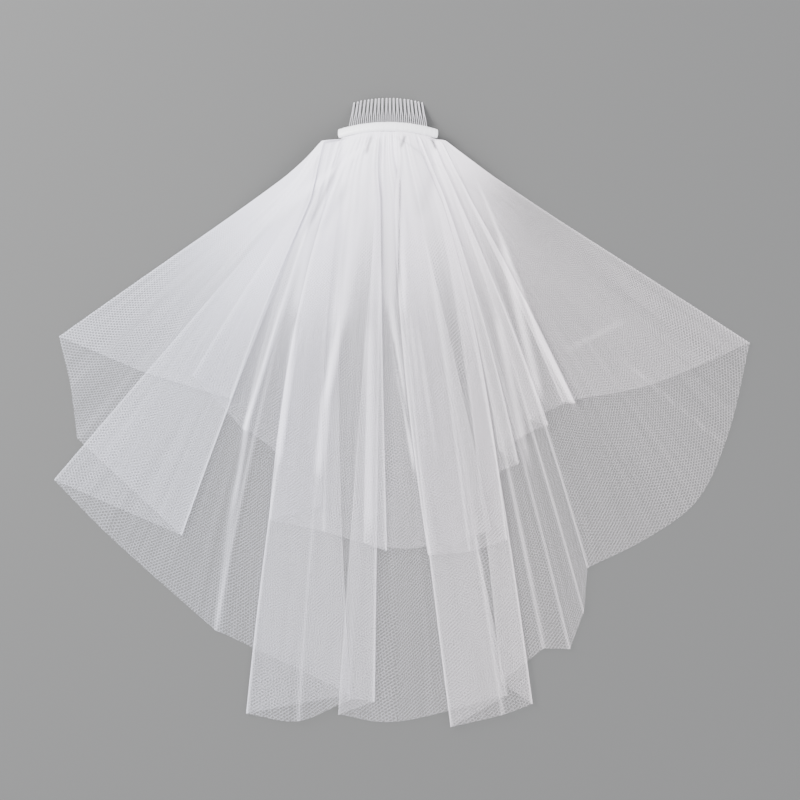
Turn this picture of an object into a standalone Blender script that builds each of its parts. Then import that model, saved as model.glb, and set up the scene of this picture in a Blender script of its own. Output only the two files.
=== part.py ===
"""A short two-tier veil of tulle on a wire comb, lying open on its back.

Units are metres and +Z is up. The comb's teeth point along +Y and the tulle fans out along -Y.
The origin is the middle of the object's box, on the surface that it lies on.
"""

import math
from collections import namedtuple

import bpy
import numpy as np
from mathutils import Vector

# Tulle
TULLE_WALL = 0.0010
LAYER_PITCH = 0.0019
HEAD_PITCH = 0.00035
TIER_GAP = 0.0005
UPPER_LENGTH = 0.410
LOWER_LENGTH = 0.585
LEFT_EDGE = 0.380
RIGHT_EDGE = 0.411
SHOULDER_REACH = 0.150
DRAPE_REACH = 0.170
SPREAD_REACH = 0.014
PLEAT_START = 0.018
PLEAT_REACH = 0.094

# Ribbon
RIBBON_OVERHANG = 0.0080
RIBBON_WIDTH = 0.0110
RIBBON_HEIGHT = 0.0080
RIBBON_WALL = 0.0010
ARCH_RISE = 0.0110
HEAD_MARGIN = 0.0032
HEAD_TUCK = 0.0050

# Comb
COMB_TILT = math.radians(28.0)
COMB_WIDTH = 0.0790
TOOTH_COUNT = 20
TOOTH_WIRE = 0.0008
TOOTH_LENGTH = 0.0335
TOOTH_TAPER = 0.90
TOOTH_FORK = 0.0019
TOOTH_WAIST = 0.00106
FORK_SHARE = 0.35
WAIST_SHARE = 0.58
SPINE_WIRE = 0.0016
SPINE_INSET = 0.0022
FIT_GAP = 0.0003
SLOT_HEIGHT = 0.0020
SLOT_END = 0.0030

# Fineness of the curved forms
ARCH_STEPS = 13
ROUND_STEPS = 6
LINE_SAMPLES = 241

# One row for each line that runs from the ribbon to the hem, in the order of the cloth.
# bend: angle from straight down, about the middle of the ribbon, of the point it bends round
# hem: angle of its end on the hem, reach: how far out that end is
# layer: the layer of the cloth that follows it, 0 for the one that lies lowest
Line = namedtuple("Line", "bend hem reach layer")

UPPER_LINES = [
    Line(-65, -58.5, LEFT_EDGE, 0),
    Line(-57, -46.0, 0.820 * UPPER_LENGTH, 2),
    Line(-43, -30.5, 0.739 * UPPER_LENGTH, 1),
    Line(-48, -39.0, 0.745 * UPPER_LENGTH, 0),
    Line(-44, -25.9, 0.789 * UPPER_LENGTH, 1),
    Line(-41, -23.6, 0.785 * UPPER_LENGTH, 0),
    Line(-38, -19.0, 0.811 * UPPER_LENGTH, 0),
    Line(-32, -13.0, 0.850 * UPPER_LENGTH, 1),
    Line(-39, -17.1, 0.967 * UPPER_LENGTH, 2),
    Line(-24, -9.1, 0.964 * UPPER_LENGTH, 2),
    Line(-3, -0.1, 0.998 * UPPER_LENGTH, 1),
    Line(-8, -3.4, 0.980 * UPPER_LENGTH, 0),
    Line(3, 3.4, 0.993 * UPPER_LENGTH, 0),
    Line(9, 8.8, 1.000 * UPPER_LENGTH, 1),
    Line(2, 5.4, 1.012 * UPPER_LENGTH, 2),
    Line(19, 11.0, 1.017 * UPPER_LENGTH, 2),
    Line(35, 16.3, 1.012 * UPPER_LENGTH, 1),
    Line(29, 14.0, 0.915 * UPPER_LENGTH, 0),
    Line(33, 20.6, 0.847 * UPPER_LENGTH, 1),
    Line(35, 22.6, 0.840 * UPPER_LENGTH, 0),
    Line(39, 27.5, 0.797 * UPPER_LENGTH, 1),
    Line(41, 29.5, 0.790 * UPPER_LENGTH, 0),
    Line(45, 33.8, 0.780 * UPPER_LENGTH, 1),
    Line(47, 35.8, 0.786 * UPPER_LENGTH, 0),
    Line(52, 42.6, 0.837 * UPPER_LENGTH, 0),
    Line(58, 49.3, 0.895 * UPPER_LENGTH, 0),
    Line(66, 60.1, RIGHT_EDGE, 0),
]

LOWER_LINES = [
    Line(-65, -58.5, LEFT_EDGE, 0),
    Line(-61, -51.7, 0.680 * LOWER_LENGTH, 1),
    Line(-57, -45.6, 0.730 * LOWER_LENGTH, 2),
    Line(-43, -27.1, 0.757 * LOWER_LENGTH, 1),
    Line(-52, -44.0, 0.807 * LOWER_LENGTH, 0),
    Line(-47, -33.9, 0.822 * LOWER_LENGTH, 0),
    Line(-43, -19.1, 0.881 * LOWER_LENGTH, 1),
    Line(-40, -17.4, 0.883 * LOWER_LENGTH, 0),
    Line(-32, -10.5, 0.913 * LOWER_LENGTH, 1),
    Line(-39, -13.7, 0.998 * LOWER_LENGTH, 2),
    Line(-24, -8.6, 0.993 * LOWER_LENGTH, 2),
    Line(-12, -3.9, 0.950 * LOWER_LENGTH, 2),
    Line(-3, -1.3, 0.950 * LOWER_LENGTH, 1),
    Line(-9, -5.2, 0.975 * LOWER_LENGTH, 0),
    Line(2, 1.1, 0.983 * LOWER_LENGTH, 0),
    Line(9, 8.6, 0.977 * LOWER_LENGTH, 1),
    Line(2, 6.0, 0.997 * LOWER_LENGTH, 2),
    Line(19, 11.1, 0.990 * LOWER_LENGTH, 2),
    Line(35, 14.2, 0.983 * LOWER_LENGTH, 1),
    Line(29, 11.6, 0.938 * LOWER_LENGTH, 0),
    Line(33, 16.8, 0.900 * LOWER_LENGTH, 1),
    Line(36, 19.4, 0.915 * LOWER_LENGTH, 0),
    Line(40, 22.2, 0.866 * LOWER_LENGTH, 1),
    Line(45, 24.6, 0.801 * LOWER_LENGTH, 0),
    Line(50, 32.9, 0.806 * LOWER_LENGTH, 0),
    Line(55, 40.4, 0.804 * LOWER_LENGTH, 0),
    Line(60, 48.6, 0.762 * LOWER_LENGTH, 0),
    Line(66, 60.1, RIGHT_EDGE, 0),
]

# Rows of the wall: shares of the drape's reach from the ribbon's mouth, then of the way to the hem
DRAPE_SHARES = (0.0, 0.09, 0.22, 0.40, 0.62, 1.0)
HEM_SHARES = (0.5, 1.0)
ROW_COUNT = len(DRAPE_SHARES) + len(HEM_SHARES)

# A fold turns within TURN_WIDTH, but in no more than WIDEST_TURN of its panel
TOP_LAYER = 2
TURN_WIDTH = 0.9 * LAYER_PITCH
WIDEST_TURN = 0.3

RIBBON_LENGTH = COMB_WIDTH + 2 * RIBBON_OVERHANG
ARCH_RADIUS = (RIBBON_LENGTH**2 / 4 + ARCH_RISE**2) / (2 * ARCH_RISE)
ARCH_HALF_ANGLE = math.asin(RIBBON_LENGTH / 2 / ARCH_RADIUS)
COMB_AXIS = Vector((0, math.cos(COMB_TILT), -math.sin(COMB_TILT)))
COMB_NORMAL = Vector((0, math.sin(COMB_TILT), math.cos(COMB_TILT)))
SPINE_PLACE = RIBBON_WIDTH / 2 - RIBBON_WALL - FIT_GAP - SPINE_INSET
TOOTH_ROOT = SPINE_PLACE + SPINE_WIRE / 2 + TOOTH_WIRE / 2 + FIT_GAP
MOUTH = RIBBON_WIDTH / 2 + RIBBON_WALL


def arch_angle(x):
    """Angle round the arch of a point that lies x from the middle of the comb."""
    return math.asin(x / ARCH_RADIUS)


def on_comb(x, along, above, lift=0.0):
    """A point x across the comb, so far along its teeth, and so far above its curved plane."""
    angle = arch_angle(x)
    bulge = ARCH_RADIUS * (math.cos(angle) - math.cos(ARCH_HALF_ANGLE))
    outward = Vector((math.sin(angle), 0, 0)) + math.cos(angle) * COMB_NORMAL
    place = Vector((x, 0, lift)) + bulge * COMB_NORMAL + along * COMB_AXIS
    return place + outward * above


def tooth_place(number):
    """Distance of a tooth's root from the middle of the comb."""
    return COMB_WIDTH * ((number + 0.5) / TOOTH_COUNT - 0.5)


def comb_lift():
    """Height of the arch's ends at which the outer teeth's tips lie on the floor."""
    tip = on_comb(tooth_place(0), TOOTH_ROOT + TOOTH_LENGTH, 0.0)
    return TOOTH_WIRE / 2 - tip.z


COMB_LIFT = comb_lift()


def ease(value):
    """0 to 1 with level ends."""
    value = np.clip(value, 0.0, 1.0)
    return value * value * (3 - 2 * value)


def material(name, colour, roughness, metallic):
    """A plain finish for one kind of piece."""
    finish = bpy.data.materials.new(name)
    finish.use_nodes = True
    shader = finish.node_tree.nodes["Principled BSDF"]
    shader.inputs["Base Color"].default_value = (*colour, 1.0)
    shader.inputs["Roughness"].default_value = roughness
    shader.inputs["Metallic"].default_value = metallic
    return finish


def sheet_object(name, grid, wall, finish, group):
    """A wall of even thickness on a grid of points, rows by columns."""
    rows, columns = grid.shape[:2]
    faces = []
    for row in range(rows - 1):
        for column in range(columns - 1):
            corner = row * columns + column
            faces.append((corner, corner + columns, corner + columns + 1, corner + 1))
    mesh = bpy.data.meshes.new(name)
    mesh.from_pydata(grid.reshape(-1, 3).tolist(), [], faces)
    mesh.materials.append(finish)
    piece = bpy.data.objects.new(name, mesh)
    group.objects.link(piece)
    solid = piece.modifiers.new("Wall", "SOLIDIFY")
    solid.thickness = wall
    solid.offset = 0.0
    solid.use_even_offset = True
    solid.use_quality_normals = True
    return piece


def mouth_distance(point):
    """Plan distance of a point from the ribbon's mouth, and the height of the mouth there."""
    half = RIBBON_LENGTH / 2 - HEAD_MARGIN
    x = max(-half, min(half, point[0]))
    mouth = on_comb(x, -MOUTH, 0.0, COMB_LIFT)
    return math.hypot(point[0] - mouth.x, point[1] - mouth.y), mouth.z


def drape(point):
    """Height of the draped cloth at a plan point, and how far its layers are spread."""
    distance, height = mouth_distance(point)
    fall = 0.5 + 0.5 * math.cos(math.pi * min(1.0, distance / DRAPE_REACH))
    return height * fall, ease(distance / SPREAD_REACH)


def on_plan(angle, reach):
    """Plan point at an angle from straight down and a distance from the middle of the ribbon."""
    return reach * np.array([math.sin(math.radians(angle)), -math.cos(math.radians(angle))])


def bezier(start, middle, end, share):
    """Points of a curve that leaves start towards middle and comes to end from there."""
    return (1 - share) ** 2 * start + 2 * share * (1 - share) * middle + share**2 * end


def line_run(bend, hem, reach, x):
    """Plan points of one line: a curve from the ribbon's mouth, round its bend, to the hem."""
    start = np.array(on_comb(x, -MOUTH, 0.0))[:2]
    middle = on_plan(bend, SHOULDER_REACH)
    end = on_plan(hem, reach)
    fine = np.linspace(0.0, 1.0, LINE_SAMPLES)[:, None]
    distances = [mouth_distance(point)[0] for point in bezier(start, middle, end, fine)]
    draped = np.interp(np.array(DRAPE_SHARES) * DRAPE_REACH, distances, fine[:, 0])
    outer = draped[-1] + (1 - draped[-1]) * np.array(HEM_SHARES)
    return bezier(start, middle, end, np.concatenate((draped, outer))[:, None])


def tier_runs(lines, heads):
    """Each line's run: an even fan by the ribbon, which folds into pleats further out."""
    reached = np.concatenate((np.array(DRAPE_SHARES) * DRAPE_REACH, [math.inf] * len(HEM_SHARES)))
    pleated = ease((reached - PLEAT_START) / (PLEAT_REACH - PLEAT_START))[:, None]
    runs = []
    for index, (line, head) in enumerate(zip(lines, heads)):
        place = index / (len(lines) - 1)
        fan_bend = lines[0].bend + place * (lines[-1].bend - lines[0].bend)
        fan = line_run(fan_bend, fan_bend, line.reach, head)
        runs.append((1 - pleated) * fan + pleated * line_run(line.bend, line.hem, line.reach, head))
    return runs


def tier_columns(lines):
    """The wall's columns: each line, the turns beside each fold, and each layer's middle."""
    half = RIBBON_LENGTH / 2 - HEAD_MARGIN
    last = len(lines) - 1
    heads = [half * (2 * index / last - 1) for index in range(len(lines))]
    runs = tier_runs(lines, heads)
    layers = [line.layer for line in lines[:-1]]
    turns = [layers[0]] + [(a + b) / 2 for a, b in zip(layers, layers[1:])] + [layers[-1]]
    columns = []
    for index, layer in enumerate(layers):
        columns.append((heads[index], runs[index], np.full(ROW_COUNT, turns[index])))
        width = np.linalg.norm(runs[index + 1] - runs[index], axis=1)
        turn = np.minimum(WIDEST_TURN, TURN_WIDTH / np.maximum(width, TURN_WIDTH))
        flat = ease((width - TURN_WIDTH) / (2 * TURN_WIDTH))
        shares = [np.full(ROW_COUNT, 0.5)]
        if turns[index] != layer:
            shares.insert(0, turn)
        if turns[index + 1] != layer:
            shares.append(1 - turn)
        for share in shares:
            head = heads[index] + share[0] * (heads[index + 1] - heads[index])
            run = runs[index] + share[:, None] * (runs[index + 1] - runs[index])
            slope = turns[index] + share * (turns[index + 1] - turns[index])
            columns.append((head, run, slope + flat * (layer - slope)))
    columns.append((heads[last], runs[last], np.full(ROW_COUNT, turns[last])))
    return columns


def tier(name, lines, head_height, floor_height, finish, group):
    """One tier of tulle: pleated lines from inside the ribbon down to the floor and the hem."""
    columns = tier_columns(lines)
    grid = np.zeros((ROW_COUNT + 1, len(columns), 3))
    for index, (head, run, layer) in enumerate(columns):
        above = head_height + HEAD_PITCH * layer
        on_floor = floor_height + LAYER_PITCH * layer
        grid[0, index] = on_comb(head, HEAD_TUCK - MOUTH, above[0], COMB_LIFT)
        grid[1, index] = on_comb(head, -MOUTH, above[0], COMB_LIFT)
        for row in range(1, ROW_COUNT):
            height, spread = drape(run[row])
            offset = (1 - spread) * above[row] * math.cos(COMB_TILT) + spread * on_floor[row]
            grid[row + 1, index] = (run[row][0], run[row][1], height + offset)
    return sheet_object(name, grid, TULLE_WALL, finish, group)


def ribbon_section():
    """Half-round channel, open towards the tulle: (along, above) on the wall's middle."""
    half_width = RIBBON_WIDTH / 2 - RIBBON_WALL / 2
    half_height = RIBBON_HEIGHT / 2 - RIBBON_WALL / 2
    straight = half_width - half_height
    section = [(-half_width, half_height), (0.0, half_height)]
    for step in range(ROUND_STEPS + 1):
        angle = math.pi / 2 - math.pi * step / ROUND_STEPS
        section.append((straight + half_height * math.cos(angle), half_height * math.sin(angle)))
    section += [(0.0, -half_height), (-half_width, -half_height)]
    return section


def arch_places(half_length):
    """Even places across the comb, from one end of a length to the other."""
    return [half_length * (2 * step / ARCH_STEPS - 1) for step in range(ARCH_STEPS + 1)]


def arched_grid(section, half_length):
    """A section carried along the comb's arch."""
    places = arch_places(half_length)
    return np.array([[on_comb(x, along, above, COMB_LIFT) for along, above in section] for x in places])


def ribbon(finish, group, cutters):
    """The satin ribbon, folded over the gathers, with a slot that the comb's teeth pass."""
    folded = arched_grid(ribbon_section(), RIBBON_LENGTH / 2)
    piece = sheet_object("ribbon_binding", folded, RIBBON_WALL, finish, group)
    through_wall = [(RIBBON_WIDTH / 2 + RIBBON_WALL, 0.0), (RIBBON_WIDTH / 2 - 2 * RIBBON_WALL, 0.0)]
    slot = arched_grid(through_wall, RIBBON_LENGTH / 2 - SLOT_END)
    cutter = sheet_object("teeth_slot", slot, SLOT_HEIGHT, finish, cutters)
    cutter.hide_render = True
    cutter.display_type = "WIRE"
    cut = piece.modifiers.new("Teeth slot", "BOOLEAN")
    cut.operation = "DIFFERENCE"
    cut.object = cutter
    return piece


def wire(name, points, diameter, finish, group):
    """A round wire through the points, with filled ends."""
    curve = bpy.data.curves.new(name, "CURVE")
    curve.dimensions = "3D"
    curve.bevel_depth = diameter / 2
    curve.bevel_resolution = 1
    curve.use_fill_caps = True
    spline = curve.splines.new("POLY")
    spline.points.add(len(points) - 1)
    for place, point in zip(spline.points, points):
        place.co = (*point, 1.0)
    curve.materials.append(finish)
    piece = bpy.data.objects.new(name, curve)
    group.objects.link(piece)
    return piece


def tooth(number, finish, group):
    """One hairpin: two legs that start apart at the bar, close up and meet in a round tip."""
    x = tooth_place(number)
    shape = [(0.0, TOOTH_FORK / 2), (FORK_SHARE, TOOTH_FORK / 2), (WAIST_SHARE, TOOTH_WAIST / 2)]
    tip = TOOTH_LENGTH - TOOTH_WAIST / 2
    leg = [(side, share * TOOTH_LENGTH) for share, side in shape] + [(TOOTH_WAIST / 2, tip)]
    cap = [(0.0, TOOTH_LENGTH)]
    outline = leg + cap + [(-side, along) for side, along in reversed(leg)]
    points = []
    for side, along in outline:
        narrowed = x * (1 - (1 - TOOTH_TAPER) * along / TOOTH_LENGTH)
        base = on_comb(x, TOOTH_ROOT + along, 0.0, COMB_LIFT)
        points.append((narrowed + side, base.y, base.z))
    return wire(f"comb_tooth_{number + 1:02d}", points, TOOTH_WIRE, finish, group)


def spine(finish, group):
    """The comb's plain bar, arched inside the ribbon."""
    points = [on_comb(x, SPINE_PLACE, 0.0, COMB_LIFT) for x in arch_places(COMB_WIDTH / 2)]
    return wire("comb_spine", points, SPINE_WIRE, finish, group)


def centre_on_floor(pieces):
    """Put the middle of the whole box at the origin, with its lowest point on the floor."""
    bpy.context.view_layer.update()
    graph = bpy.context.evaluated_depsgraph_get()
    places = []
    for piece in pieces:
        evaluated = piece.evaluated_get(graph)
        places += [tuple(piece.matrix_world @ vertex.co) for vertex in evaluated.to_mesh().vertices]
        evaluated.to_mesh_clear()
    low = np.min(places, axis=0)
    high = np.max(places, axis=0)
    frame = bpy.data.objects.new("veil_frame", None)
    bpy.context.scene.collection.objects.link(frame)
    frame.location = (-(low[0] + high[0]) / 2, -(low[1] + high[1]) / 2, -low[2])
    for piece in bpy.data.objects:
        if piece is not frame:
            piece.parent = frame


def main():
    for existing in list(bpy.data.objects):
        bpy.data.objects.remove(existing)
    group = bpy.data.collections.new("short_veil")
    cutters = bpy.data.collections.new("cutters")
    bpy.context.scene.collection.children.link(group)
    bpy.context.scene.collection.children.link(cutters)
    tulle = material("tulle", (0.86, 0.86, 0.90), 0.8, 0.0)
    satin = material("satin", (0.90, 0.90, 0.92), 0.35, 0.0)
    silver = material("silver_wire", (0.78, 0.78, 0.80), 0.22, 1.0)

    floor_height = TULLE_WALL / 2
    stack = TOP_LAYER * LAYER_PITCH + TULLE_WALL + TIER_GAP
    head_stack = TOP_LAYER * HEAD_PITCH + TULLE_WALL + TIER_GAP
    lower_head = -RIBBON_HEIGHT / 2 + RIBBON_WALL + FIT_GAP + TULLE_WALL / 2
    pieces = [
        tier("lower_tier", LOWER_LINES, lower_head, floor_height, tulle, group),
        tier("upper_tier", UPPER_LINES, lower_head + head_stack, floor_height + stack, tulle, group),
        ribbon(satin, group, cutters),
        spine(silver, group),
    ]
    pieces += [tooth(number, silver, group) for number in range(TOOTH_COUNT)]
    centre_on_floor(pieces)


main()
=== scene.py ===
import math
import bpy
import numpy as np
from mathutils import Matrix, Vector


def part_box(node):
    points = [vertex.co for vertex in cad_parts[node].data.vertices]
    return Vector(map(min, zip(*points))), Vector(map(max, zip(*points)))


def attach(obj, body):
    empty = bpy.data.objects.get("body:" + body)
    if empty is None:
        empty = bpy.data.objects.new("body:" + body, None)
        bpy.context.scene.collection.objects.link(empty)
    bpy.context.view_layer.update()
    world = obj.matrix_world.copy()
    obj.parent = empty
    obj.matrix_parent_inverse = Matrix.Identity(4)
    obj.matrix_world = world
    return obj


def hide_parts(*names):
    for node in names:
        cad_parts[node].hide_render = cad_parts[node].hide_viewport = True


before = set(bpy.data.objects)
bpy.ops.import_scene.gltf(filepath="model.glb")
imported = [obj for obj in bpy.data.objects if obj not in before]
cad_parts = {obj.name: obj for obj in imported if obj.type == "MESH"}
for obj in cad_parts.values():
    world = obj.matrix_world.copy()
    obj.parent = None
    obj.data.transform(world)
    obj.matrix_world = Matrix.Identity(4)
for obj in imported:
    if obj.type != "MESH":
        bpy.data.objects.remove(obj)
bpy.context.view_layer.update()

# A short two-tier veil of tulle on a wire comb, laid open on a pale floor and seen from above.
# Lengths are metres. The comb's teeth point along +Y and the tulle fans out along -Y.

view = {
    "distance": 1.75,        # camera to floor
    "elevation": 87.0,       # degrees, nearly straight down
    "aim": (-0.002, 0.0093, 0.010),
    "frameWidth": 0.784,     # what the picture's width covers on the floor
    "sensor": 36.0,          # mm
}


def addObject(name, data):
    thing = bpy.data.objects.new(name, data)
    bpy.context.scene.collection.objects.link(thing)
    return thing


def aimAt(thing, place, target):
    # turns a camera or a lamp so that it looks from place to target
    thing.location = place
    thing.rotation_mode = "QUATERNION"
    thing.rotation_quaternion = (Vector(target) - Vector(place)).to_track_quat("-Z", "Y")


def makeCamera():
    data = bpy.data.cameras.new("camera")
    data.sensor_width = view["sensor"]
    data.lens = view["sensor"] * view["distance"] / view["frameWidth"]
    camera = addObject("camera", data)
    tilt = math.radians(view["elevation"])
    aim = view["aim"]
    back, up = view["distance"] * math.cos(tilt), view["distance"] * math.sin(tilt)
    place = (aim[0], aim[1] - back, aim[2] + up)
    aimAt(camera, place, aim)
    bpy.context.scene.camera = camera


makeCamera()
print("camera set")


def hexColour(code):
    # sRGB hex to the linear values that the shader takes
    values = [int(code[i:i + 2], 16) / 255 for i in (1, 3, 5)]
    linear = [v / 12.92 if v <= 0.04045 else ((v + 0.055) / 1.055) ** 2.4 for v in values]
    return (*linear, 1.0)


def newMaterial(name):
    material = bpy.data.materials.new(name)
    material.use_nodes = True
    tree = material.node_tree
    return material, tree, tree.nodes["Principled BSDF"]


def addNode(tree, kind, settings=None, **links):
    # one node: settings are its own fields or the values of its sockets, links are socket=source,
    # where i2 stands for the socket of index 2
    node = tree.nodes.new(kind)
    for key, value in (settings or {}).items():
        if isinstance(key, int) or key in node.inputs:
            node.inputs[key].default_value = value
        else:
            setattr(node, key, value)
    for key, source in links.items():
        byIndex = key[0] == "i" and key[1:].isdigit()
        tree.links.new(source, node.inputs[int(key[1:]) if byIndex else key])
    return node


def tintBetween(tree, shader, low, high, factor):
    # the base colour runs from low to high with the factor
    colours = {"data_type": "RGBA", 6: hexColour(low), 7: hexColour(high)}
    tint = addNode(tree, "ShaderNodeMix", colours, Factor=factor)
    tree.links.new(tint.outputs[2], shader.inputs["Base Color"])


def ease(value):
    # 0 to 1 with level ends: 3t^2 - 2t^3
    value = np.clip(value, 0.0, 1.0)
    return value * value * (3 - 2 * value)


def gridObject(name, points, material, uv=None, values=None, keep=None):
    # a mesh of quads on a grid of rows by columns; keep says which quads stay
    rows, columns = points.shape[:2]
    index = np.arange(rows * columns).reshape(rows, columns)
    quads = np.stack((index[:-1, :-1], index[1:, :-1], index[1:, 1:], index[:-1, 1:]), axis=-1)
    quads = quads[keep] if keep is not None else quads.reshape(-1, 4)
    return meshObject(name, points.reshape(-1, 3), quads, material, uv, values)


def meshObject(name, points, quads, material, uv=None, values=None):
    # uv and values hold one entry for each point
    mesh = bpy.data.meshes.new(name)
    mesh.vertices.add(len(points))
    mesh.vertices.foreach_set("co", np.ascontiguousarray(points, dtype=np.float32).ravel())
    mesh.loops.add(quads.size)
    mesh.loops.foreach_set("vertex_index", np.ascontiguousarray(quads, dtype=np.int32).ravel())
    mesh.polygons.add(len(quads))
    mesh.polygons.foreach_set("loop_start", np.arange(0, quads.size, 4, dtype=np.int32))
    mesh.update(calc_edges=True)
    mesh.validate()
    mesh.shade_smooth()
    if uv is not None:
        layer = mesh.uv_layers.new(name="cloth")
        layer.data.foreach_set("uv", uv.reshape(-1, 2)[quads.ravel()].astype(np.float32).ravel())
    for key, field in (values or {}).items():
        attribute = mesh.attributes.new(key, "FLOAT", "POINT")
        attribute.data.foreach_set("value", field.ravel().astype(np.float32))
    mesh.materials.append(material)
    return addObject(name, mesh)


comb = {
    "tilt": math.radians(28.0),   # teeth point down by this much
    "length": 0.095,              # ribbon, along the chord of its arch
    "rise": 0.011,                # of the arch
    "ribbonWidth": 0.0110,
    "ribbonHeight": 0.0080,
    "width": 0.0790,              # over the teeth
    "teeth": 20,
    "wire": 0.0009,
    "toothLength": 0.0335,
    "toothRoot": 0.0035,          # from the ribbon's middle line to the start of a tooth's legs
    "legInside": 0.0020,          # how far the legs reach back into the ribbon
    "taper": 0.90,                # width over the tips, as a share of that over the roots
    "fork": 0.0019,               # between the legs at the root
    "waist": 0.00100,             # and where they touch
    "waistStart": 0.30,           # shares of the tooth's length over which the legs close
    "waistReach": 0.32,
    "legPoints": (8, 22),         # along a leg's open part and its closed part
    "openShare": 0.33,            # shares of the length where the open part ends and the other begins
    "closedShare": 0.36,
    "tipPoints": 9,
    "sides": 10,
    "uneven": 0.00022,            # how far a tip stands out of line
    "unevenWaves": ((2.3, 0.0, 1.0), (5.1, 1.0, 0.6)),      # turn for each tooth, phase, share
    "bar": 0.0016,
    "barPlace": 0.0020,           # from the ribbon's middle line to the bar's
    "barPoints": 60,
}
archRadius = (comb["length"] ** 2 / 4 + comb["rise"] ** 2) / (2 * comb["rise"])
archEnd = math.asin(comb["length"] / 2 / archRadius)


def onArch(x, along, above):
    # on the comb's arched plane: x across, then along its teeth, then out of the plane.
    # The arch is part of a circle, and the plane is turned down about X by the tilt.
    x, along, above = np.broadcast_arrays(x, along, above)
    angle = np.arcsin(np.clip(x / archRadius, -1, 1))
    bulge = archRadius * (np.cos(angle) - math.cos(archEnd))
    sine, cosine = math.sin(comb["tilt"]), math.cos(comb["tilt"])
    out = bulge + above * np.cos(angle)
    across = x + above * np.sin(angle)
    return np.stack((across, along * cosine + out * sine, out * cosine - along * sine), axis=-1)


def findCombOrigin():
    # the middle of the arch's chord: in the middle of the CAD ribbon, level with the CAD bar in plan,
    # and as high as it stands when the outer teeth's tips rest on the floor
    ribbonLow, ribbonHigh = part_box("ribbon_binding")
    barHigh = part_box("comb_spine")[1]
    barMiddle = onArch(0.0, comb["barPlace"], 0.0)
    outer = comb["width"] * (0.5 / comb["teeth"] - 0.5)
    tip = onArch(outer, comb["toothRoot"] + comb["toothLength"], 0.0)
    x = (ribbonLow.x + ribbonHigh.x) / 2
    y = barHigh.y - comb["bar"] / 2 - barMiddle[1]
    return np.array([x, y, comb["wire"] / 2 - tip[2]])


combOrigin = findCombOrigin()
gatherPlan = combOrigin[:2]


def combPoint(x, along, above):
    return onArch(x, along, above) + combOrigin


print("comb origin", combOrigin)

tulle = {
    "upperLength": 0.410,
    "lowerLength": 0.585,
    "upperArea": 0.29,        # square metres before it is gathered, with the cut's round corners
    "lowerArea": 0.46,
    "shoulder": 0.150,        # where the lines bend
    "drapeReach": 0.170,      # over which the cloth comes down from the comb
    "pitch": 0.0017,          # between layers that lie on each other
    "headPitch": 0.00030,
    "headMargin": 0.0032,
    "wingBend": 43.0,         # lines that bend further than this leave from the ribbon's ends
    "angleShare": 0.78,       # how far a line's place at the ribbon follows its angle, and not its number
    "pleatsFrom": 0.010,      # from the ribbon to where the fan begins to turn into pleats
    "pleatsOver": 0.062,
    "mouthGap": 0.001,        # from the ribbon's edge to its mouth
    "tuck": 0.0050,           # length inside the ribbon
    "spreadOver": 0.014,      # from the ribbon's pitch to the full one
    "rows": (64, 52),         # on the drape, and from there to the hem
    "rowCrowding": 1.35,      # closer rows by the ribbon
    "lineSteps": 600,
    "columnWidth": 0.0030,
    "fewestColumns": 6,
    "leastWidth": 0.01,
    "turnWidth": 0.0034,      # in which a fold turns from one layer to the next
    "narrow": (0.002, 0.004),     # a panel under this width slopes, and is level when this much wider
    "creaseWidth": 0.0016,
    "floorGap": 0.0005,
    "upperLift": 0.0049,      # of the upper tier over the lower one
    "edgeLift": 0.2,          # share of it at the wings' edges, where the tiers meet
    "edgeTurn": 7.0,          # degrees from the edge to the full lift
    "headHeights": (0.0004, -0.0018),     # of the upper and the lower tier in the mouth
    "tierShift": 0.013,       # between the two tiers' gathers
}

# One row for each line of the cloth from the ribbon to the hem, in cloth order from left to right.
# The first number is the angle from straight down of the point that it bends round and the second that
# of its end, both in degrees. The third is how far out its end is, as a share of the tier's length, the
# fourth the layer of the cloth that follows it, and the last how hard the cloth is creased along it.
upperLines = [
    (-65, -58.5, 0.927, 0, 0.3),
    (-57, -46.0, 0.820, 2, 0.0),
    (-43, -30.5, 0.739, 1, 0.9),
    (-48, -39.0, 0.745, 0, 0.2),
    (-44, -25.9, 0.789, 1, 0.6),
    (-41, -24.7, 0.787, 0, 0.0),
    (-38, -19.0, 0.811, 0, 0.0),
    (-27, -10.0, 0.905, 1, 0.1),
    (-39, -17.1, 0.967, 2, 1.0),
    (-24, -9.1, 0.964, 2, 0.5),
    (-3, -0.1, 0.998, 1, 0.6),
    (-8, -3.4, 0.980, 0, 0.2),
    (3, 3.4, 0.993, 0, 0.0),
    (20, 14.6, 0.980, 1, 0.1),
    (0, 5.4, 1.012, 2, 1.0),
    (19, 11.0, 1.017, 2, 0.6),
    (35, 16.3, 1.012, 1, 1.0),
    (29, 14.0, 0.915, 0, 0.2),
    (32, 18.6, 0.850, 2, 0.0),
    (35, 21.6, 0.850, 1, 0.9),
    (32, 19.2, 0.805, 0, 0.3),
    (38, 26.0, 0.790, 2, 0.0),
    (41, 28.8, 0.797, 1, 0.9),
    (38, 26.2, 0.765, 0, 0.3),
    (44, 32.6, 0.770, 2, 0.0),
    (47, 34.8, 0.786, 1, 1.0),
    (45, 33.0, 0.765, 0, 0.4),
    (52, 42.6, 0.837, 0, 0.0),
    (58, 49.3, 0.895, 0, 0.0),
    (66, 60.1, 1.002, 0, 0.3),
]
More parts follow.
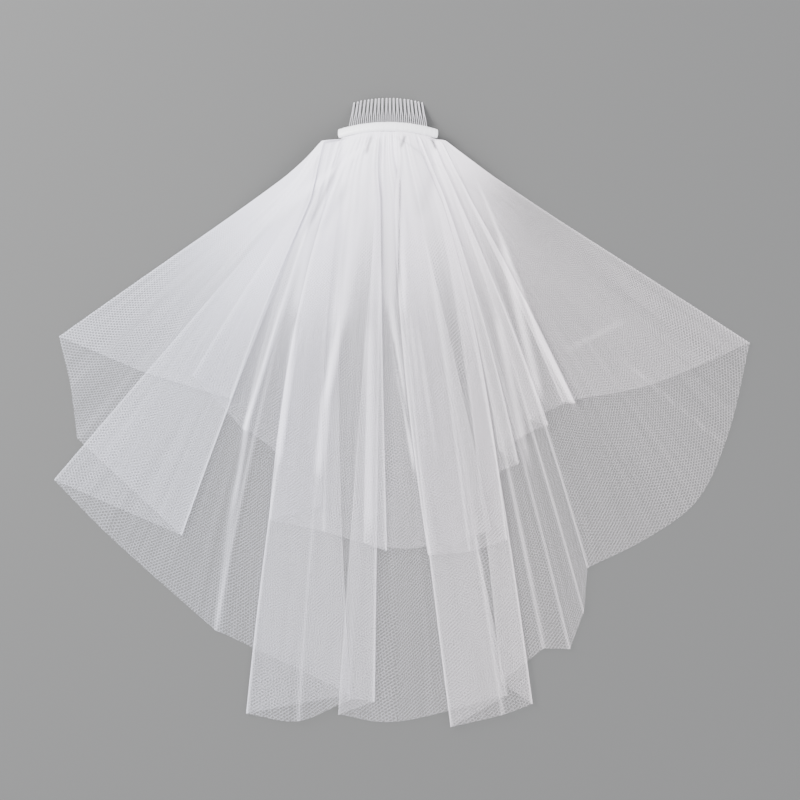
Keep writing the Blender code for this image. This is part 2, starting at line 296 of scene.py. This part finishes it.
lowerLines = [
    (-65, -58.5, 0.650, 0, 0.3),
    (-61, -51.7, 0.680, 1, 0.0),
    (-57, -45.6, 0.730, 2, 0.0),
    (-43, -27.1, 0.757, 1, 1.0),
    (-52, -44.0, 0.807, 0, 0.5),
    (-47, -33.9, 0.822, 0, 0.0),
    (-43, -19.1, 0.881, 1, 0.5),
    (-40, -18.0, 0.882, 0, 0.0),
    (-25, -3.8, 0.940, 1, 0.1),
    (-39, -13.7, 0.998, 2, 1.0),
    (-24, -8.6, 0.993, 2, 0.4),
    (-12, -3.9, 0.950, 2, 0.2),
    (-3, -1.3, 0.950, 1, 0.9),
    (-8, -4.9, 0.975, 0, 0.2),
    (2, 1.1, 0.983, 0, 0.0),
    (14, 12.0, 0.960, 1, 0.1),
    (2, 6.0, 0.997, 2, 1.0),
    (19, 11.1, 0.990, 2, 0.6),
    (35, 14.2, 0.983, 1, 1.0),
    (29, 11.6, 0.938, 0, 0.2),
    (33, 16.8, 0.900, 1, 0.7),
    (36, 19.4, 0.915, 0, 0.7),
    (40, 22.2, 0.866, 1, 0.7),
    (45, 24.6, 0.801, 0, 0.9),
    (50, 32.9, 0.806, 0, 0.0),
    (55, 40.4, 0.804, 0, 0.0),
    (60, 48.6, 0.762, 0, 0.0),
    (66, 60.1, 0.703, 0, 0.3),
]


mouthHalf = comb["length"] / 2 - tulle["headMargin"]
mouthPlace = comb["ribbonWidth"] / 2 + tulle["mouthGap"]


def mouthOf(x):
    # the ribbon's mouth, where the tulle comes out, clamped to its length
    return combPoint(np.clip(x, -mouthHalf, mouthHalf), -mouthPlace, 0.0)


def mouthDistance(plan):
    # plan distance from the nearest point of the mouth, and the mouth's height there
    mouth = mouthOf(plan[..., 0] - gatherPlan[0])
    return np.hypot(plan[..., 0] - mouth[..., 0], plan[..., 1] - mouth[..., 1]), mouth[..., 2]


def drapeSteps():
    # the rows' distances from the mouth on the drape
    return np.linspace(0, 1, tulle["rows"][0]) ** tulle["rowCrowding"] * tulle["drapeReach"]


def outFrom(angle, reach):
    # a place in plan, so many degrees from straight down and so far from the ribbon's middle
    turned = math.radians(angle)
    return gatherPlan + reach * np.array([math.sin(turned), -math.cos(turned)])


def bentLine(t, start, middle, end):
    # (1-t)^2 start + 2t(1-t) middle + t^2 end
    t = t[:, None]
    return (1 - t) ** 2 * start + 2 * t * (1 - t) * middle + t ** 2 * end


def lineRun(bend, hem, reach, headX):
    # one line in plan, with a point for each row of the cloth
    ends = mouthOf(headX)[:2], outFrom(bend, tulle["shoulder"]), outFrom(hem, reach)
    t = np.linspace(0, 1, tulle["lineSteps"])
    distance = np.maximum.accumulate(mouthDistance(bentLine(t, *ends))[0])
    first = np.interp(drapeSteps(), distance, t)
    rest = first[-1] + (1 - first[-1]) * np.linspace(0, 1, tulle["rows"][1] + 1)[1:]
    return bentLine(np.concatenate((first, rest)), *ends)


def clothRuns(lines, length):
    # every line's run: by the ribbon a fan in the lines' order, turning into the pleats further out.
    # A line leaves the ribbon at a place that follows its angle, and the wings leave at its ends
    reached = np.concatenate((drapeSteps(), np.full(tulle["rows"][1], 1.0)))
    pleated = ease((reached - tulle["pleatsFrom"]) / tulle["pleatsOver"])[:, None]
    byAngle = tulle["angleShare"]
    bends = np.array([row[0] for row in lines], dtype=float)
    inOrder = (np.maximum.accumulate(bends) + np.minimum.accumulate(bends[::-1])[::-1]) / 2
    even = np.linspace(-1, 1, len(lines))
    heads = mouthHalf * (byAngle * np.clip(inOrder / tulle["wingBend"], -1, 1) + (1 - byAngle) * even)
    fans = byAngle * inOrder + (1 - byAngle) * (bends[0] + (even + 1) / 2 * (bends[-1] - bends[0]))
    runs = []
    for (bend, hem, reach, _, _), headX, fan in zip(lines, heads, fans):
        straight = lineRun(fan, fan, reach * length, headX)
        runs.append((1 - pleated) * straight + pleated * lineRun(bend, hem, reach * length, headX))
    return heads, np.array(runs)


def panelPlan(share, run, nextRun, before, after):
    # a cubic curve from one line to the next. It runs on smoothly through a line with no fold,
    # where before or after is the line beyond it
    f = share[:, None, None]
    leaving = (nextRun - before) / 2 if before is not None else nextRun - run
    coming = (after - run) / 2 if after is not None else nextRun - run
    return ((2 * f ** 3 - 3 * f ** 2 + 1) * run + (f ** 3 - 2 * f ** 2 + f) * leaving
            + (3 * f ** 2 - 2 * f ** 3) * nextRun + (f ** 3 - f ** 2) * coming)


def panelLevel(share, width, layer, turn, nextTurn):
    # the layer across a panel, level but for a round turn at each fold. A narrow panel only slopes
    share = share[:, None]
    slope = turn + share * (nextTurn - turn)
    opening = np.sqrt(1 - ease(share * width / tulle["turnWidth"]))
    closing = np.sqrt(1 - ease((1 - share) * width / tulle["turnWidth"]))
    flat = layer + (turn - layer) * opening + (nextTurn - layer) * closing
    narrow, wider = tulle["narrow"]
    return slope + ease((width - narrow) / wider) * (flat - slope)


def clothColumns(lines, length):
    # the columns of the cloth: plan, layer, place at the ribbon, crease, and place on the flat sheet
    heads, runs = clothRuns(lines, length)
    last = len(lines) - 1
    layers = np.array([row[3] for row in lines[:-1]], dtype=float)
    turns = np.concatenate((layers[:1], (layers[:-1] + layers[1:]) / 2, layers[-1:]))
    creases = np.array([row[4] for row in lines])
    plans, layerOf, headOf, creaseOf, flatX = [], [], [], [], []
    cloth = 0.0
    for i in range(last):
        before = runs[i - 1] if i > 0 and layers[i - 1] == layers[i] else None
        after = runs[i + 2] if i + 1 < last and layers[i + 1] == layers[i] else None
        hemWidth = np.linalg.norm(runs[i + 1][-1] - runs[i][-1])
        count = int(max(tulle["fewestColumns"], hemWidth / tulle["columnWidth"]))
        share = 0.5 - 0.5 * np.cos(np.pi * np.arange(count) / count)
        width = np.linalg.norm(runs[i + 1] - runs[i], axis=-1)
        plans.append(panelPlan(share, runs[i], runs[i + 1], before, after))
        layerOf.append(panelLevel(share, width, layers[i], turns[i], turns[i + 1]))
        headOf.append(heads[i] + share * (heads[i + 1] - heads[i]))
        creaseOf.append(creases[i] * np.exp(-(np.outer(share, width) / tulle["creaseWidth"]) ** 2)
                        + creases[i + 1] * np.exp(-(np.outer(1 - share, width) / tulle["creaseWidth"]) ** 2))
        flatX.append(cloth + share * max(hemWidth, tulle["leastWidth"]))
        cloth += max(hemWidth, tulle["leastWidth"])
    plans.append(runs[last][None])
    layerOf.append(np.full((1, runs.shape[1]), turns[last]))
    headOf.append(heads[last:])
    creaseOf.append(np.full((1, runs.shape[1]), creases[last]))
    flatX.append(np.array([cloth]))
    plan, layer, headX, crease, flatX = (
        np.concatenate(part) for part in (plans, layerOf, headOf, creaseOf, flatX))
    return plan.transpose(1, 0, 2), layer.T, headX, crease.T, flatX


# Creases and hollows that are not folds of the layers, in millimetres from the ribbon's middle:
# start across and out, end across and out, half width, and the share of thread gained, or lost as painted
# shade that lets the dark floor show.
# A note on a row holds for the rows under it too, up to the next note.
creaseAndShadeMarks = [
    (-79, 95, -108, 181, 2.6, 0.45),   # ridge of the narrow pleat
    (-108, 181, -140, 289, 1.8, 0.50),
    (-138, 285, -150, 358, 2.2, 0.30),
    (-150, 350, -167, 482, 3.4, 0.16),
    (-77, 97, -90, 173, 5.0, 0.32),   # left edge of the middle pleat
    (-92, 193, -107, 316, 2.6, 0.35),
    (-31, 80, -47, 183, 7.0, 0.35),   # its inner fold
    (-47, 183, -61, 262, 3.2, 0.38),
    (-61, 262, -67, 330, 4.0, 0.18),
    (3, 66, 3, 164, 7.0, 0.25),   # strip left of the right pleat
    (3, 164, 14, 252, 3.0, 0.30),
    (14, 252, 25, 325, 1.6, 0.35),
    (12, 40, 10, 150, 1.5, -0.95),   # gap beside it, painted shade
    (5, 203, 21, 293, 1.0, -0.35),
    (16, 80, 16, 169, 1.8, 0.25),   # its bright side
    (-16, 4, -21, 22, 1.7, -0.75),   # painted shade between the gathers at the ribbon
    (17, 4, 13, 16, 1.4, -0.85),
    (43, 5, 47, 16, 1.6, -0.90),
    (-41, 54, -67, 97, 5.0, -0.30),   # painted shade in soft hollows
    (-8, 56, -7, 126, 2.4, -0.40),
    (43, 42, 31, 81, 6.0, -0.22),
    (23, 187, 36, 311, 0.9, 0.14),   # fine creases
    (29, 193, 47, 311, 0.8, 0.10),
    (16, 198, 23, 262, 0.8, 0.14),
    (-18, 193, -18, 389, 4.0, 0.12),   # broad band
    (108, 183, 137, 320, 3.0, 0.18),   # right side of the right pleat
    (113, 110, 149, 257, 3.4, 0.30),   # overlapping strip
    (90, 51, 114, 109, 1.3, 0.30),   # fold before the right wing
    (114, 109, 149, 199, 1.6, 0.40),
    (149, 199, 181, 262, 2.0, 0.40),
    (178, 211, 229, 185, 2.2, 0.05),   # creases of the right wing
    (237, 227, 332, 306, 1.4, 0.07),
    (135, 281, 139, 301, 0.9, -0.45),   # painted shade in the gap in the strips
    (-49, 17, -83, 90, 1.0, 0.20),   # edge of the left pleat
    (-46, 26, -77, 90, 2.2, -0.45),   # painted shade in the hollow beside it
]


ripple = {
    "counts": (17.0, 29.0, 43.0, 61.0),       # gathers across the ribbon
    "phases": (0.4, 2.1, 4.0, 1.3),
    "heights": (0.0013, 0.0010, 0.0006, 0.0003),
    "inCloth": 0.35,                          # share of those heights that shows
    "fade": 0.075,                            # distance over which they die out
    "start": 0.006,                           # and over which they begin at the ribbon
    "swells": ((7.0, 0.6, 0.0010), (13.0, 2.4, 0.0007), (23.0, 5.1, 0.0004)),   # count, phase, height
    "swellStart": 0.15,
    "markLift": 0.0022,
    "markRange": (-0.12, 0.6),
    "markFade": 34.0,                         # mm at each end of a mark, or its share of a short one
    "markFadeShare": 0.45,
}
shoulder = {
    "right": 0.009,         # how far the outermost gathers stand out past the ribbon's ends
    "left": 0.018,
    "start": 0.004,
    "fade": 0.034,
    "power": 1.5,
    "from": 0.62,           # share of the ribbon's half length beyond which they do
}
thread = {
    # the share of the view that one open layer fills, and how far out the gathers crowd it, from
    # the left wing to the right
    "hem": (0.120, 0.105, 0.090, 0.090, 0.085, 0.085),
    "crowd": (0.130, 0.120, 0.098, 0.094, 0.090, 0.052),
    "crowdFrom": 0.01,
    "span": 120.0,          # degrees from wing to wing
    "head": 0.93,           # the share where it is gathered
    "range": (0.02, 0.97),
    "crease": 0.26,
    "creaseHidden": 0.8,    # share of a crease's threads that crowded cloth hides
    "streaks": ((23, 1.7, 0.5), (37, 0.2, 0.3), (11, 4.4, 0.3)),     # count, phase, share
    "streakShare": 0.055,
    "streakFade": 0.20,
}


def markField(plan):
    # each mark is a ridge: exp(-(distance from its line / half width)^2), faded at both ends; a negative one
    # is painted shade
    across = (plan[..., 0] - gatherPlan[0]) * 1000
    out = (gatherPlan[1] - plan[..., 1]) * 1000
    field = np.zeros(across.shape)
    for x1, y1, x2, y2, width, strength in creaseAndShadeMarks:
        span = math.hypot(x2 - x1, y2 - y1)
        ux, uy = (x2 - x1) / span, (y2 - y1) / span
        along = (across - x1) * ux + (out - y1) * uy
        aside = (across - x1) * uy - (out - y1) * ux
        fade = min(ripple["markFade"], ripple["markFadeShare"] * span)
        ends = ease((along + fade / 2) / fade) * ease((span + fade / 2 - along) / fade)
        field += strength * ends * np.exp(-(aside / width) ** 2)
    return field


def shoulderBulge(distance, headX):
    # the outermost gathers stand out sideways past the ribbon's ends before they fall away
    near = ease(distance / shoulder["start"]) * np.exp(-(distance / shoulder["fade"]) ** shoulder["power"])
    left = ease((-headX / mouthHalf - shoulder["from"]) / (1 - shoulder["from"]))
    right = ease((headX / mouthHalf - shoulder["from"]) / (1 - shoulder["from"]))
    return near * (shoulder["right"] * right - shoulder["left"] * left)


def edgeLift(angle):
    # how far the upper tier stands over the lower one: little at the wings' edges
    leftEdge, rightEdge = math.radians(upperLines[0][1]), math.radians(upperLines[-1][1])
    inside = ease(np.minimum(angle - leftEdge, rightEdge - angle) / math.radians(tulle["edgeTurn"]))
    return tulle["upperLift"] * (tulle["edgeLift"] + (1 - tulle["edgeLift"]) * inside)


def gatherHeight(distance, share):
    height = np.zeros_like(distance)
    for count, phase, peak in zip(ripple["counts"], ripple["phases"], ripple["heights"]):
        height += peak * (1 + np.sin(2 * np.pi * count * share + phase))
    return ripple["inCloth"] * height * np.exp(-distance / ripple["fade"]) * ease(distance / ripple["start"])


def swellHeight(distance, angle, marks):
    height = ripple["markLift"] * np.clip(marks, *ripple["markRange"])
    for count, phase, peak in ripple["swells"]:
        height += peak * (1 + np.sin(count * angle + phase)) * ease(distance / ripple["swellStart"])
    return height


def tierCloth(name, lines, length, isUpper, material):
    # height = the drape down from the mouth + the layer + gathers that fade away from the ribbon
    # + low swells that all the layers share
    plan, layer, headX, crease, flatX = clothColumns(lines, length)
    plan[..., 0] += shoulderBulge(mouthDistance(plan)[0], headX)
    distance, mouthZ = mouthDistance(plan)
    drape = mouthZ * (0.5 + 0.5 * np.cos(np.pi * np.minimum(1, distance / tulle["drapeReach"])))
    spread = ease(distance / tulle["spreadOver"])
    angle = np.arctan2(plan[..., 0] - gatherPlan[0], gatherPlan[1] - plan[..., 1])
    lift = edgeLift(angle) if isUpper else 0.0
    headZ = tulle["headHeights"][0 if isUpper else 1] + tulle["headPitch"] * layer
    onFloor = tulle["floorGap"] + lift + tulle["pitch"] * layer
    share = headX / comb["length"] + 0.5 + (tulle["tierShift"] if isUpper else 0.0)
    marks = markField(plan)
    z = drape + (1 - spread) * headZ * math.cos(comb["tilt"]) + spread * onFloor
    z = z + gatherHeight(distance, share) + swellHeight(distance, angle, marks)
    tucked = combPoint(headX, tulle["tuck"] - mouthPlace, headZ[0])
    points = np.concatenate((tucked[None], np.concatenate((plan, z[..., None]), axis=-1)))
    crowded = thread["crease"] * crease + np.clip(marks, 0, 1)
    # the marks' negative part thins the net as painted shade, so the dark floor shows there
    threads = threadShare(distance, angle, share, crowded, np.minimum(marks, 0))
    threads = np.concatenate((threads[:1], threads))
    steps = np.linalg.norm(np.diff(points, axis=0), axis=-1)
    runLength = np.concatenate((np.zeros((1, len(flatX))), np.cumsum(steps, axis=0)))
    uv = np.stack((np.broadcast_to(flatX, runLength.shape), runLength), axis=-1)
    return gridObject(name, points, material, uv, {"threads": threads})


def threadShare(distance, angle, share, crowded, paintedShade):
    # how much of the view the net fills: an open layer at the hem, crowded threads by the ribbon.
    # From one to the other it follows exp(-(distance / crowd)^2); the marks' losses thin it as painted shade
    place = (angle / math.radians(thread["span"]) + 0.5) * (len(thread["crowd"]) - 1)
    crowd = np.interp(place, np.arange(len(thread["crowd"])), thread["crowd"])
    hem = np.interp(place, np.arange(len(thread["hem"])), thread["hem"])
    near = np.exp(-(np.maximum(distance - thread["crowdFrom"], 0) / crowd) ** 2)
    wave = sum(part * np.sin(2 * np.pi * count * share + phase) for count, phase, part in thread["streaks"])
    streaks = thread["streakShare"] * wave * np.exp(-distance / thread["streakFade"])
    least, most = thread["range"]
    filled = hem + (thread["head"] - hem) * near + streaks + crowded * (1 - thread["creaseHidden"] * near)
    # painted shade: the negative marks thin the net so the dark floor shows through
    return np.maximum(np.minimum(filled, most) * (1 + np.maximum(paintedShade, -most)), least)


netForm = {"hole": 0.0033, "turn": math.radians(38.0), "pullAcross": 0.007, "pullAlong": 0.16}


def netFactor(tree, uv):
    # the hexagonal net as bricks: each row stands half a hole off the last, and 0.87 of a hole from it.
    # Where the net is pulled, it is closer in bands along the cloth
    turned = addNode(tree, "ShaderNodeMapping", {"Rotation": (0, 0, netForm["turn"])}, Vector=uv)
    net = addNode(tree, "ShaderNodeTexBrick", {
        "Color1": (0, 0, 0, 1), "Color2": (0, 0, 0, 1), "Mortar": (1, 1, 1, 1),
        "Scale": 1 / netForm["hole"], "Brick Width": 1.0, "Row Height": 0.87,
        "Mortar Size": 0.15, "Mortar Smooth": 0.5}, Vector=turned.outputs["Vector"])
    drawnScale = (1 / netForm["pullAcross"], 1 / netForm["pullAlong"], 1)
    drawn = addNode(tree, "ShaderNodeMapping", {"Scale": drawnScale}, Vector=uv)
    pulled = addNode(tree, "ShaderNodeTexNoise", {"Scale": 1.0, "Detail": 3.0},
                     Vector=drawn.outputs["Vector"])
    holes = addNode(tree, "ShaderNodeMapRange", {"To Min": 0.50, "To Max": 2.2}, Value=net.outputs["Color"])
    bands = addNode(tree, "ShaderNodeMapRange", {
        "From Min": 0.3, "From Max": 0.7, "To Min": 0.78, "To Max": 1.22}, Value=pulled.outputs["Fac"])
    return addNode(tree, "ShaderNodeMath", {"operation": "MULTIPLY"},
                   i0=holes.outputs["Result"], i1=bands.outputs["Result"])


def tulleMaterial():
    # nylon tulle: a fine hexagonal net of bright thread, warp knitted and heat set. It is see-through,
    # and whiter where threads crowd at gathers and creases.
    # The real net has holes of 0.8 mm, too fine to show here, so it is drawn at 3.3 mm.
    material, tree, shader = newMaterial("nylonTulle")
    uv = addNode(tree, "ShaderNodeUVMap", {"uv_map": "cloth"})
    both = netFactor(tree, uv.outputs["UV"])
    coordinates = addNode(tree, "ShaderNodeTexCoord")
    threads = addNode(tree, "ShaderNodeAttribute", {"attribute_name": "threads"})
    # where threads crowd, they close the holes
    closing = addNode(tree, "ShaderNodeMapRange", {"From Min": 0.08, "From Max": 0.50},
                      Value=threads.outputs["Fac"])
    closed = addNode(tree, "ShaderNodeMix", {"data_type": "FLOAT", 3: 1.0},
                     i0=closing.outputs["Result"], i2=both.outputs["Value"])
    alpha = addNode(tree, "ShaderNodeMath", {"operation": "MULTIPLY", "use_clamp": True},
                    i0=closed.outputs[0], i1=threads.outputs["Fac"])
    tree.links.new(alpha.outputs["Value"], shader.inputs["Alpha"])
    # bluish white at the left, pinkish white at the right
    sides = addNode(tree, "ShaderNodeSeparateXYZ", Vector=coordinates.outputs["Object"])
    side = addNode(tree, "ShaderNodeMapRange", {"From Min": -0.20, "From Max": 0.12},
                   Value=sides.outputs["X"])
    tintBetween(tree, shader, "#f0f1fd", "#fcf4f8", side.outputs["Result"])
    shader.inputs["Roughness"].default_value = 0.62
    shader.inputs["IOR"].default_value = 1.53
    shader.inputs["Specular IOR Level"].default_value = 0.3
    return material


tulleNet = tulleMaterial()
lowerTier = tierCloth("lower_tulle", lowerLines, tulle["lowerLength"], False, tulleNet)
upperTier = tierCloth("upper_tulle", upperLines, tulle["upperLength"], True, tulleNet)
for piece, node, length, area in (
        (lowerTier, "lower_tier", tulle["lowerLength"], tulle["lowerArea"]),
        (upperTier, "upper_tier", tulle["upperLength"], tulle["upperArea"])):
    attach(piece, "root")
    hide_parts(node)
print("tulle", len(lowerTier.data.polygons), len(upperTier.data.polygons))

ribbonForm = {
    "wall": 0.0006,
    "roundness": 0.72,              # power of the section's cosines: 1 is an ellipse, 0 a rectangle
    "mouth": math.radians(9.0),     # half of the opening that the tulle comes out of
    "slot": math.radians(9.0),      # half of the slot for the teeth
    "slotEnd": 0.004,
    "around": 44,
    "alongSteps": 190,
    "pucker": 0.065,                # share of the height
    "edgePull": 1.2,                # how much harder the thread pulls by the edges, and 1 less on top
    "puckerPitch": 0.0046,
    "waver": (0.8, 300.0),          # of the puckers' spacing
    "edges": ((0.018, 410.0, 0.0), (0.012, 890.0, 1.1)),    # waves of the edges: share, turns, phase
    "round": 0.006,                 # metres of ribbon for each radian round it
}


def ribbonSection(angle):
    # a flattened round: half the width along the comb's plane and half the height out of it
    halfWidth = comb["ribbonWidth"] / 2 - ribbonForm["wall"] / 2
    halfHeight = comb["ribbonHeight"] / 2 - ribbonForm["wall"] / 2
    power = ribbonForm["roundness"]
    along = halfWidth * np.sign(np.cos(angle)) * np.abs(np.cos(angle)) ** power
    above = halfHeight * np.sign(np.sin(angle)) * np.abs(np.sin(angle)) ** power
    return along, above


def satinMaterial():
    # polyester satin ribbon: floats of bright yarn across the ribbon, a soft broad sheen along it
    material, tree, shader = newMaterial("polyesterSatin")
    coordinates = addNode(tree, "ShaderNodeUVMap", {"uv_map": "cloth"})
    stretch = addNode(tree, "ShaderNodeMapping", {"Scale": (1 / 0.0005, 1 / 0.004, 1)},
                      Vector=coordinates.outputs["UV"])
    yarn = addNode(tree, "ShaderNodeTexNoise", {"Scale": 1.0, "Detail": 4.0},
                   Vector=stretch.outputs["Vector"])
    bump = addNode(tree, "ShaderNodeBump", {"Strength": 0.25, "Distance": 0.0001},
                   Height=yarn.outputs["Fac"])
    rough = addNode(tree, "ShaderNodeMapRange", {"To Min": 0.30, "To Max": 0.46}, Value=yarn.outputs["Fac"])
    tintBetween(tree, shader, "#f1f0f4", "#fcfbfc", yarn.outputs["Fac"])
    tree.links.new(rough.outputs["Result"], shader.inputs["Roughness"])
    tree.links.new(bump.outputs["Normal"], shader.inputs["Normal"])
    shader.inputs["Sheen Weight"].default_value = 0.25
    shader.inputs["IOR"].default_value = 1.53
    return material


def makeRibbon(material):
    # the section carried along the arch, from the mouth round the teeth's side and back, with small
    # puckers where the thread pulls it in, and left open for the teeth
    end = math.pi - ribbonForm["mouth"]
    angle = np.linspace(end, -end, ribbonForm["around"])[None, :]
    x = np.linspace(-comb["length"] / 2, comb["length"] / 2, ribbonForm["alongSteps"])[:, None]
    along, above = ribbonSection(angle)
    amount, turns = ribbonForm["waver"]
    pull = 1 + np.sin(2 * np.pi * x / ribbonForm["puckerPitch"] + amount * np.sin(x * turns))
    pucker = 1 - ribbonForm["pucker"] * pull * (ribbonForm["edgePull"] - np.abs(np.sin(angle)))
    edge = 1 + sum(share * np.sin(x * turns + phase) for share, turns, phase in ribbonForm["edges"])
    points = combPoint(x, along * edge, above * pucker)
    betweenEnds = np.abs(x[:-1] + x[1:]) / 2 < comb["length"] / 2 - ribbonForm["slotEnd"]
    atTeeth = np.abs(angle[:, :-1] + angle[:, 1:]) / 2 < ribbonForm["slot"]
    uv = np.stack(np.broadcast_arrays(x, angle * ribbonForm["round"]), axis=-1)
    ribbon = gridObject("ribbon_band", points, material, uv, keep=~(betweenEnds & atTeeth))
    wall = ribbon.modifiers.new("wall", "SOLIDIFY")
    wall.thickness = ribbonForm["wall"]
    wall.offset = 0.0
    return ribbon


satin = satinMaterial()
ribbonBand = makeRibbon(satin)
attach(ribbonBand, "root")
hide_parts("ribbon_binding")
print("ribbon")


def tubeAlong(path, radius):
    # rings of points round a path: each ring stands square to it, turned as little as possible
    tangent = np.gradient(path, axis=0)
    tangent /= np.linalg.norm(tangent, axis=1)[:, None]
    guide = np.array([0.0, math.sin(comb["tilt"]), math.cos(comb["tilt"])])
    side = np.cross(tangent, guide)
    side /= np.linalg.norm(side, axis=1)[:, None]
    other = np.cross(side, tangent)
    turn = np.linspace(0, 2 * np.pi, comb["sides"], endpoint=False)[None, :, None]
    return path[:, None] + radius * (np.cos(turn) * side[:, None] + np.sin(turn) * other[:, None])


def silverMaterial():
    # silver-plated steel wire, drawn and bright: fine lines along it, a mirror a little dulled
    material, tree, shader = newMaterial("platedWire")
    coordinates = addNode(tree, "ShaderNodeTexCoord")
    stretch = addNode(tree, "ShaderNodeMapping", {"Scale": (1600, 160, 400)},
                      Vector=coordinates.outputs["Object"])
    lines = addNode(tree, "ShaderNodeTexNoise", {"Scale": 1.0, "Detail": 3.0},
                    Vector=stretch.outputs["Vector"])
    rough = addNode(tree, "ShaderNodeMapRange", {"To Min": 0.22, "To Max": 0.40}, Value=lines.outputs["Fac"])
    tintBetween(tree, shader, "#ece8ee", "#fdfbfd", lines.outputs["Fac"])
    tree.links.new(rough.outputs["Result"], shader.inputs["Roughness"])
    shader.inputs["Metallic"].default_value = 1.0
    return material


def toothPath(number):
    # a hairpin: legs apart at the bar, closing to a touch at the waist, and a round turn at the tip
    x = comb["width"] * ((number + 0.5) / comb["teeth"] - 0.5)
    uneven = sum(part * math.sin(number * turn + phase) for turn, phase, part in comb["unevenWaves"])
    length, waist, fork = comb["toothLength"], comb["waist"] / 2, comb["fork"] / 2
    openPoints, closedPoints = comb["legPoints"]
    openPart = np.linspace(-comb["legInside"], comb["openShare"] * length, openPoints)
    closedPart = np.linspace(comb["closedShare"] * length, length - waist, closedPoints)
    along = np.concatenate((openPart, closedPart))
    side = waist + (fork - waist) * (1 - ease((along / length - comb["waistStart"]) / comb["waistReach"]))
    turn = np.linspace(0, np.pi, comb["tipPoints"])[1:-1]
    along = np.concatenate((along, length - waist + waist * np.sin(turn), along[::-1]))
    side = np.concatenate((side, waist * np.cos(turn), -side[::-1]))
    share = np.maximum(along, 0) / length
    path = combPoint(x, comb["toothRoot"] + along, 0.0)
    narrowed = x * (1 - (1 - comb["taper"]) * share)
    path[:, 0] = combOrigin[0] + narrowed + comb["uneven"] * uneven * share ** 2 + side
    return path


def makeComb(material):
    # all the hairpins and the bar in one mesh
    tubes = [tubeAlong(toothPath(number), comb["wire"] / 2) for number in range(comb["teeth"])]
    x = np.linspace(-comb["width"] / 2, comb["width"] / 2, comb["barPoints"])
    tubes.append(tubeAlong(combPoint(x, comb["barPlace"], 0.0), comb["bar"] / 2))
    points, quads, start = [], [], 0
    for tube in tubes:
        rings, sides = tube.shape[:2]
        index = start + np.arange(rings * sides).reshape(rings, sides)
        index = np.concatenate((index, index[:, :1]), axis=1)
        faces = np.stack((index[:-1, :-1], index[:-1, 1:], index[1:, 1:], index[1:, :-1]), axis=-1)
        quads.append(faces.reshape(-1, 4))
        points.append(tube.reshape(-1, 3))
        start += rings * sides
    return meshObject("comb_wire", np.concatenate(points), np.concatenate(quads), material)


silver = silverMaterial()
combWire = makeComb(silver)
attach(combWire, "root")
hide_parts("comb_spine", *[f"comb_tooth_{n:02d}" for n in range(1, comb["teeth"] + 1)])
print("comb")

stage = {
    "floor": "#585857",     # dark enough to show pale under the light that the white cloth needs
    "size": 40.0,
    "lamps": {              # place, watts, and size
        "key": ((-1.5, 1.1, 1.45), 116.0, 1.1),
        "fill": ((1.6, -0.8, 2.0), 19.0, 2.0),
    },
    "skyColour": "#f4f5fa",
    "sky": 2.2,
}


def makeStage():
    material, _, shader = newMaterial("paleFloor")
    shader.inputs["Base Color"].default_value = hexColour(stage["floor"])
    shader.inputs["Roughness"].default_value = 0.8
    half = stage["size"] / 2
    x, y = np.meshgrid(np.linspace(-half, half, 3), np.linspace(half, -half, 3))
    floor = gridObject("floor", np.stack((x, y, np.zeros_like(x)), axis=-1), material)
    for name, (place, power, size) in stage["lamps"].items():
        data = bpy.data.lights.new(name, "AREA")
        data.energy = power
        data.size = size
        aimAt(addObject(name, data), place, (0, 0, 0))
    world = bpy.data.worlds.new("softSky")
    world.use_nodes = True
    background = world.node_tree.nodes["Background"]
    background.inputs["Color"].default_value = hexColour(stage["skyColour"])
    background.inputs["Strength"].default_value = stage["sky"]
    bpy.context.scene.world = world


makeStage()
print("stage")
